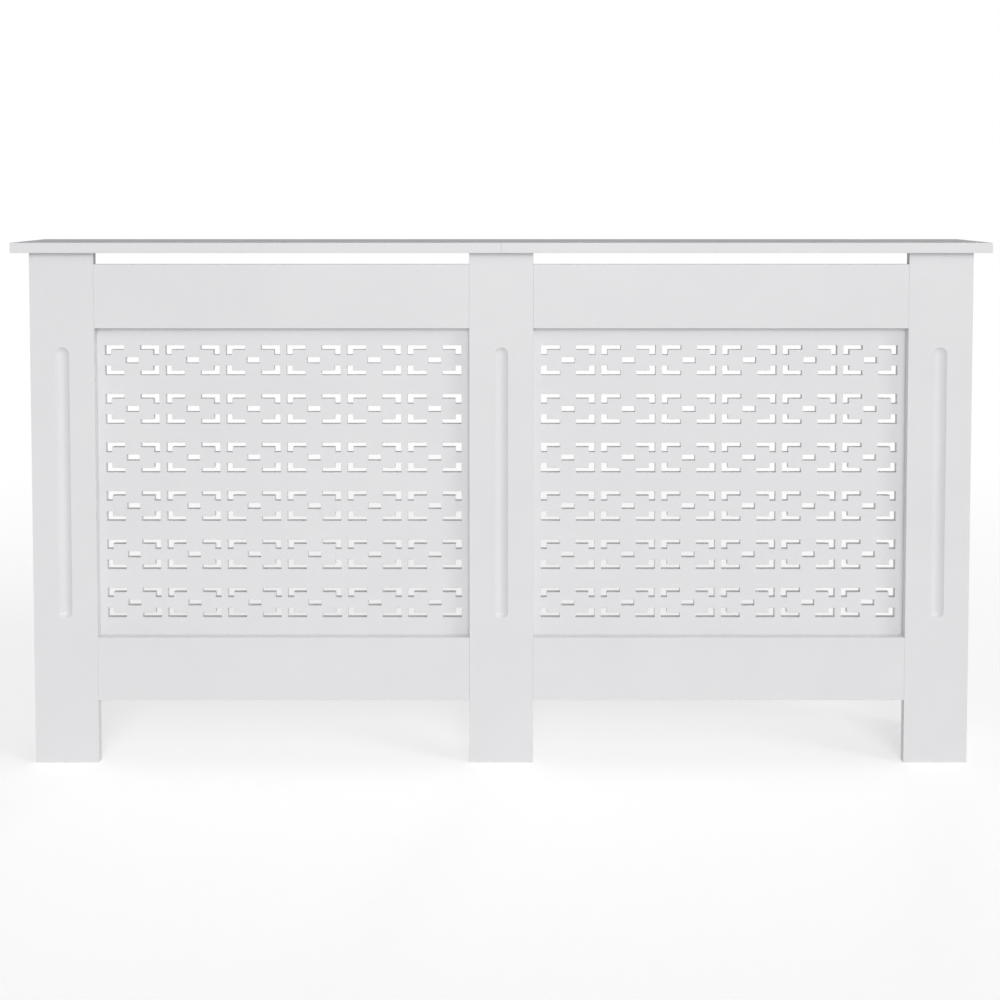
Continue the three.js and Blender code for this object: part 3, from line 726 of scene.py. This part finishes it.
def makeBoards():
    for side in ("left", "right"):
        node = f"{side}_side_board"
        lo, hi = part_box(node)
        notchY, notchZ = hi[1] - board["notchDepth"], lo[2] + board["notchHeight"]
        outline = [(lo[0], lo[1], lo[2]), (lo[0], notchY, lo[2]), (lo[0], notchY, notchZ),
                   (lo[0], hi[1], notchZ), (lo[0], hi[1], hi[2]), (lo[0], lo[1], hi[2])]
        blank = meshOf(slab(outline, (hi[0] - lo[0], 0, 0)), boardSkins, board["edge"])
        cutters = []
        for level in ("lower", "upper"):
            place = middleOf(f"{side}_side_{level}_dowel")
            cutters.append(bore((place.x, lo[1], place.z), (0, 1, 0), post["dowelBore"],
                                board["dowelDepth"]))
        addPiece(f"{node}_notched", carved(blank, cutters), node=node)
        node = f"{side}_top_board"
        lo, hi = (Vector(c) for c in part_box(node))
        if side == "left":
            hi.x = -board["topJoint"]      # the two top boards meet in the middle
        else:
            lo.x = board["topJoint"]
        addPiece(f"{node}_eased", meshOf(block(lo, hi), boardSkins, board["topEdge"]),
                 node=node)
    lo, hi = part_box("centre_gusset")
    outline = [(lo[0], lo[1], hi[2]), (lo[0], lo[1], lo[2]),
               (lo[0], hi[1], hi[2] - board["gussetNose"]), (lo[0], hi[1], hi[2])]
    gusset = meshOf(slab(outline, (hi[0] - lo[0], 0, 0)), boardSkins, board["edge"])
    addPiece("centre_gusset_eased", gusset, node="centre_gusset")
    print("sides, top and gusset made")


# one shape for every screw
screwShape = {"shank": 1.75 * mm, "root": 1.35 * mm, "pitch": 1.2 * mm, "point": 3 * mm,
              "head": 3.6 * mm, "headHeight": 2.2 * mm, "cross": (3.8 * mm, 0.9 * mm, 1.5 * mm),
              "easing": 0.15 * mm, "facets": 28,
              # the point's waist: shares of the root's radius and of the point's length
              "waist": (0.5, 0.4), "threadFrom": 0.7,
              # the head's outline as shares of its radius and of its height
              "crown": ((1, 0.25), (0.95, 0.5), (0.8, 0.75), (0.55, 0.93), (0, 1))}


def screwMesh(length, plain):
    # pan head on its own +Z above 0, the shank below; plain is the smooth stretch under the head
    shank, root, head = screwShape["shank"], screwShape["root"], screwShape["head"]
    point, (slim, along) = screwShape["point"], screwShape["waist"]
    profile = [(0, -length), (slim * root, along * point - length)]
    profile += ringed(root, shank, screwShape["threadFrom"] * point - length, -plain,
                      screwShape["pitch"])
    ease, top = screwShape["easing"], screwShape["headHeight"]
    profile += [(root, -plain), (root, 0), (head - ease, 0), (head, ease)]
    profile += [(across * head, up * top) for across, up in screwShape["crown"]]
    long, wide, deep = screwShape["cross"]
    cutters = [block((-long / 2, -wide / 2, top - deep), (long / 2, wide / 2, top + past)),
               block((-wide / 2, -long / 2, top - deep), (wide / 2, long / 2, top + past))]
    return carved(meshOf(turned(profile, screwShape["facets"]), [platedSteel]), cutters)


grilleScrew = {"length": 23.3 * mm, "plain": 12 * mm,
               "firstTurn": 17, "nextTurn": 31}   # degrees


def makeGrilleScrews():
    # from behind through the fretwork boards into the posts, each stopped at its own turn
    shape = screwMesh(grilleScrew["length"], grilleScrew["plain"])
    nodes = [f"{bay}_{where}_{level}_screw" for bay in ("left", "right")
             for where in ("outer", "inner") for level in ("lower", "upper")]
    for number, node in enumerate(nodes):
        lo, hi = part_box(node)
        seat = ((lo[0] + hi[0]) / 2, hi[1] - screwShape["headHeight"], (lo[2] + hi[2]) / 2)
        angle = math.radians(grilleScrew["firstTurn"] + grilleScrew["nextTurn"] * number)
        addPiece(f"{node}_panhead", shape, node=node,
                 placing=aimed(seat, (0, 1, 0)) @ Matrix.Rotation(angle, 4, "Z"))
    print("fretwork screws made")


# moulded corner blocks under the top boards and beside the gusset
cornerBlock = {"leg": 20 * mm, "lip": 5 * mm, "length": 36 * mm, "hole": 2.3 * mm,
               "margin": 9 * mm, "edge": 0.9 * mm, "edgeSteps": 4, "seat": 3.9 * mm,
               "seatFrom": 8 * mm, "screw": 18 * mm, "plainShank": 6 * mm}


def blockMesh():
    # its two flat legs lie on x = 0 and y = 0 and it runs up +Z
    leg, lip, length = cornerBlock["leg"], cornerBlock["lip"], cornerBlock["length"]
    outline = [(0, 0, 0), (leg, 0, 0), (leg, lip, 0), (lip, leg, 0), (0, leg, 0)]
    blank = meshOf(slab(outline, (0, 0, length)), [whiteNylon], cornerBlock["edge"],
                   cornerBlock["edgeSteps"])
    cutters = []
    for point, along in (((0, leg / 2, cornerBlock["margin"]), (1, 0, 0)),
                         ((leg / 2, 0, length - cornerBlock["margin"]), (0, 1, 0))):
        cutters.append(bore(point, along, cornerBlock["hole"], leg))
        seat = Vector(point) + Vector(along) * cornerBlock["seatFrom"]
        cutter = turned([(cornerBlock["seat"], 0), (cornerBlock["seat"], leg)], boreFacets)
        cutter.transform(aimed(seat, along))
        cutters.append(cutter)
    for cutter in cutters:
        for face in cutter.faces:
            face.material_index = 0
    return carved(blank, cutters)


def makeCornerBlocks():
    shape = blockMesh()
    screw = screwMesh(cornerBlock["screw"], cornerBlock["plainShank"])
    quarter = math.pi / 2
    lie = Matrix.Rotation(-quarter, 4, "X")
    turn = Matrix.Rotation(quarter, 4, "Z")
    placings = {}
    for where in ("front", "rear"):
        left, right = f"left_{where}_corner_block", f"right_{where}_corner_block"
        lo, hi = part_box(left)
        placings[left] = Matrix.Translation((lo[0], lo[1], hi[2])) @ lie
        lo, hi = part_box(right)
        placings[right] = Matrix.Translation((hi[0], lo[1], hi[2])) @ lie @ turn
    lo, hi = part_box("gusset_left_corner_block")
    placings["gusset_left_corner_block"] = Matrix.Translation((hi[0], lo[1], lo[2])) @ turn
    lo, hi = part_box("gusset_right_corner_block")
    placings["gusset_right_corner_block"] = Matrix.Translation(lo)
    leg, length = cornerBlock["leg"], cornerBlock["length"]
    seatFrom, margin = cornerBlock["seatFrom"], cornerBlock["margin"]
    seats = {"first": ((seatFrom, leg / 2, margin), (1, 0, 0)),
             "second": ((leg / 2, seatFrom, length - margin), (0, 1, 0))}
    for node, placing in placings.items():
        addPiece(f"{node}_moulded", shape, node=node, placing=placing)
        for which, (point, along) in seats.items():
            addPiece(f"{node}_{which}_screw", screw,
                     placing=placing @ aimed(point, along))
    print("corner blocks made")


# angle brackets that hold the sides to the wall
bracket = {"thickness": 2 * mm, "bend": 4 * mm, "bendSteps": 8, "hole": 2.6 * mm, "corner": 3 * mm,
           "cornerSteps": 8, "screw": 12 * mm, "plainShank": 2.5 * mm}


def holeCutter(point, along, radius, depth):
    # a plain round cutter from a face at point through a part of that depth
    cutter = turned([(radius, -past), (radius, depth + past)], boreFacets)
    cutter.transform(aimed(point, along))
    return cutter


def cornerCutter(corner, inward, upward, through, depth):
    # rounds off one free corner of a leg of that depth
    c, a, u = Vector(corner), Vector(inward), Vector(upward)
    r, steps = bracket["corner"], bracket["cornerSteps"]
    outline = [c - a * r - u * r, c + a * r - u * r]
    for i in range(steps + 1):
        angle = math.pi / 2 * i / steps
        outline.append(c + a * (r - r * math.sin(angle)) + u * (r - r * math.cos(angle)))
    outline.append(c - a * r + u * r)
    start = Vector(through) * -past
    return slab([point + start for point in outline], Vector(through) * (depth + 2 * past))


def makeWallBrackets():
    screw = screwMesh(bracket["screw"], bracket["plainShank"])
    t, bend, steps = bracket["thickness"], bracket["bend"], bracket["bendSteps"]
    for side in ("left", "right"):
        node = f"{side}_wall_bracket"
        lo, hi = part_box(node)
        into = 1 if side == "left" else -1   # away from the side board
        x0, wall = (lo[0] if into > 0 else hi[0]), hi[1]
        width, leg, height = hi - lo
        outer, inner = [], []
        for i in range(steps + 1):
            a = math.pi / 2 * i / steps
            outer.append((bend - bend * math.cos(a), -bend + bend * math.sin(a)))
            inner.append((bend - (bend - t) * math.cos(a), -bend + (bend - t) * math.sin(a)))
        path = [(0, -leg), *outer, (width, 0), (width, -t), *inner[::-1], (t, -leg)]
        outline = [(x0 + into * x, wall + y, lo[2]) for x, y in path]
        blank = meshOf(slab(outline, (0, 0, height)), [platedSteel])
        middle = (lo[2] + hi[2]) / 2
        alongSide, alongWall = (into, 0, 0), (0, -1, 0)
        sideHole = (x0, wall - (leg + bend) / 2, middle)
        wallHole = (x0 + into * (width + bend) / 2, wall, middle)
        cutters = [holeCutter(sideHole, alongSide, bracket["hole"], t),
                   holeCutter(wallHole, alongWall, bracket["hole"], t)]
        for z, up in ((lo[2], 1), (hi[2], -1)):
            cutters.append(cornerCutter((x0, wall - leg, z), (0, 1, 0), (0, 0, up), alongSide, t))
            cutters.append(cornerCutter((x0 + into * width, wall, z), (-into, 0, 0), (0, 0, up),
                                        alongWall, t))
        addPiece(f"{node}_bent", carved(blank, cutters), node=node)
        seat = (x0 + into * t, sideHole[1], middle)
        addPiece(f"{node}_side_screw", screw, placing=aimed(seat, alongSide))
    print("wall brackets made")


# flat plates that join the two top boards from below
plate = {"corner": 3 * mm, "cornerSteps": 6, "edge": 0.25 * mm, "edgeSteps": 2,
         "hole": 2.2 * mm, "inset": 7 * mm, "pitch": 14 * mm, "screw": 13 * mm,
         "plainShank": 2.5 * mm, "screwTurn": 0.5}   # radians from one screw to the next


def makeJoiningPlates():
    screw = screwMesh(plate["screw"], plate["plainShank"])
    for node in ("front_joining_plate", "rear_joining_plate"):
        lo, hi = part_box(node)
        r, steps, thickness = plate["corner"], plate["cornerSteps"], hi[2] - lo[2]
        centres = ((hi[0] - r, hi[1] - r), (lo[0] + r, hi[1] - r), (lo[0] + r, lo[1] + r),
                   (hi[0] - r, lo[1] + r))
        outline = []
        for quarter, (x, y) in enumerate(centres):
            for i in range(steps + 1):
                a = math.pi / 2 * (quarter + i / steps)
                outline.append((x + r * math.cos(a), y + r * math.sin(a), lo[2]))
        blank = meshOf(slab(outline, (0, 0, thickness)), [platedSteel], plate["edge"],
                       plate["edgeSteps"])
        middleY = (lo[1] + hi[1]) / 2
        first, last, pitch = lo[0] + plate["inset"], hi[0] - plate["inset"], plate["pitch"]
        places = [first, first + pitch, last - pitch, last]
        cutters = [holeCutter((x, middleY, lo[2]), (0, 0, 1), plate["hole"], thickness)
                   for x in places]
        addPiece(f"{node}_pressed", carved(blank, cutters), node=node)
        for number, x in enumerate(places, 1):
            turn = Matrix.Rotation(plate["screwTurn"] * number, 4, "Z")
            addPiece(f"{node}_screw_{number}", screw,
                     placing=aimed((x, middleY, lo[2]), (0, 0, -1)) @ turn)
    print("joining plates made")


makePosts()
makeRails()
makeCamLocks()
makeGrilles()
makeBoards()
makeGrilleScrews()
makeCornerBlocks()
makeWallBrackets()
makeJoiningPlates()


# what the camera sees of the floor is lifted by a little glow, which grows to white far off
floor = {"size": 60.0, "shade": 0.88, "nearGlow": 0.378, "farGlow": 0.46, "growsFrom": 1.0,
         "growsTo": 3.2}


def shownRays(tree):
    # 1 for what the camera sees, straight or in gloss and glass
    nodes, links = tree.nodes, tree.links
    path = nodes.new("ShaderNodeLightPath")
    total = path.outputs["Is Camera Ray"]
    for ray in ("Is Glossy Ray", "Is Transmission Ray"):
        larger = nodes.new("ShaderNodeMath")
        larger.operation = "MAXIMUM"
        links.new(total, larger.inputs[0])
        links.new(path.outputs[ray], larger.inputs[1])
        total = larger.outputs[0]
    return total


def makeFloor():
    build = bmesh.new()
    half = floor["size"] / 2
    corners = ((-half, -half, 0), (half, -half, 0), (half, half, 0), (-half, half, 0))
    build.faces.new([build.verts.new(c) for c in corners])
    mesh = bpy.data.meshes.new("studioFloor")
    build.to_mesh(mesh)
    build.free()
    material = bpy.data.materials.new("paleFloor")
    material.use_nodes = True
    tree = material.node_tree
    tree.nodes.clear()
    plain = addNode(material, "ShaderNodeBsdfDiffuse", {"Color": (floor["shade"],) * 3 + (1,)})
    glow = addNode(material, "ShaderNodeEmission", {"Color": (1, 1, 1, 1)})
    place = addNode(material, "ShaderNodeTexCoord").outputs["Object"]
    distance = addNode(material, "ShaderNodeVectorMath", Vector=place)
    distance.operation = "LENGTH"
    grown = {"From Min": floor["growsFrom"], "From Max": floor["growsTo"],
             "To Min": floor["nearGlow"], "To Max": floor["farGlow"]}
    amount = addNode(material, "ShaderNodeMapRange", grown, Value=distance.outputs["Value"])
    share = addNode(material, "ShaderNodeMath")
    share.operation = "MULTIPLY"
    both = addNode(material, "ShaderNodeAddShader")
    addNode(material, "ShaderNodeOutputMaterial", Surface=both.outputs[0])
    tree.links.new(shownRays(tree), share.inputs[0])
    tree.links.new(amount.outputs["Result"], share.inputs[1])
    tree.links.new(share.outputs[0], glow.inputs["Strength"])
    tree.links.new(plain.outputs[0], both.inputs[0])
    tree.links.new(glow.outputs[0], both.inputs[1])
    mesh.materials.append(material)
    piece = bpy.data.objects.new("studioFloor", mesh)
    scene.collection.objects.link(piece)


sky = {"shown": 1.0, "daylight": 0.447}


def makeSky():
    world = bpy.data.worlds.new("studioWhite")
    world.use_nodes = True
    tree = world.node_tree
    tree.nodes.clear()
    light = tree.nodes.new("ShaderNodeBackground")
    light.inputs["Strength"].default_value = sky["daylight"]
    white = tree.nodes.new("ShaderNodeBackground")
    white.inputs["Strength"].default_value = sky["shown"]
    for shader in (light, white):
        shader.inputs["Color"].default_value = (1, 1, 1, 1)
    choice = tree.nodes.new("ShaderNodeMixShader")
    out = tree.nodes.new("ShaderNodeOutputWorld")
    tree.links.new(shownRays(tree), choice.inputs[0])
    tree.links.new(light.outputs[0], choice.inputs[1])
    tree.links.new(white.outputs[0], choice.inputs[2])
    tree.links.new(choice.outputs[0], out.inputs[0])
    scene.world = world


# turn from straight in front to the right, height above the floor and softness, in degrees
lamps = {
    "frontLight": {"turn": 5, "height": 16, "softness": 24, "strength": 1.14},
    "rightLight": {"turn": 60, "height": 20, "softness": 20, "strength": 0.58},
    "backLight": {"turn": 165, "height": 5, "softness": 12, "strength": 0.58},   # for the back
}
lampsAway = 5.0   # metres; a sun lights the same from anywhere, this only keeps it off the cover
glossless = ["backLight"]   # it would glare in the top


def makeLamps():
    # broad light from far off, so it falls evenly from one end of the cover to the other
    for name, lamp in lamps.items():
        turn, height = math.radians(lamp["turn"]), math.radians(lamp["height"])
        level = math.cos(height)
        away = Vector((math.sin(turn) * level, -math.cos(turn) * level, math.sin(height)))
        light = bpy.data.lights.new(name, "SUN")
        light.angle = math.radians(lamp["softness"])
        light.energy = lamp["strength"]
        holder = bpy.data.objects.new(name, light)
        holder.location = away * lampsAway
        holder.rotation_mode = "QUATERNION"
        holder.rotation_quaternion = away.to_track_quat("Z", "Y")
        holder.visible_glossy = name not in glossless
        scene.collection.objects.link(holder)


greyCard = {"width": 24.0, "height": 5.0, "away": 6.0, "shade": 0.06, "roughness": 0.9,
            "gloss": 0.1}


def makeGreyCard():
    # a dull card far behind the cover that only gloss shows; it greys the top's reflection
    half, away, height = greyCard["width"] / 2, greyCard["away"], greyCard["height"]
    build = bmesh.new()
    corners = ((-half, away, 0), (half, away, 0), (half, away, height), (-half, away, height))
    build.faces.new([build.verts.new(c) for c in corners])
    mesh = bpy.data.meshes.new("greyCard")
    build.to_mesh(mesh)
    build.free()
    material = newMaterial("greyCard", (greyCard["shade"],) * 3, gloss=greyCard["gloss"])
    shader = material.node_tree.nodes["Principled BSDF"]
    shader.inputs["Roughness"].default_value = greyCard["roughness"]
    mesh.materials.append(material)
    card = bpy.data.objects.new("greyCard", mesh)
    card.visible_camera = card.visible_diffuse = False
    card.visible_shadow = card.visible_transmission = False
    scene.collection.objects.link(card)


view = {"place": (-0.002, -2.5425, 0.9000), "tiltDown": 2.81, "lens": 57.046, "shift": -0.23}


def makeCamera():
    data = bpy.data.cameras.new("photographView")
    data.lens = view["lens"]
    data.shift_y = view["shift"]
    holder = bpy.data.objects.new("photographView", data)
    holder.location = view["place"]
    holder.rotation_euler = (math.radians(90 - view["tiltDown"]), 0, 0)
    scene.collection.objects.link(holder)
    scene.camera = holder


makeFloor()
makeSky()
makeLamps()
makeGreyCard()
makeCamera()
print("floor, light and camera made")
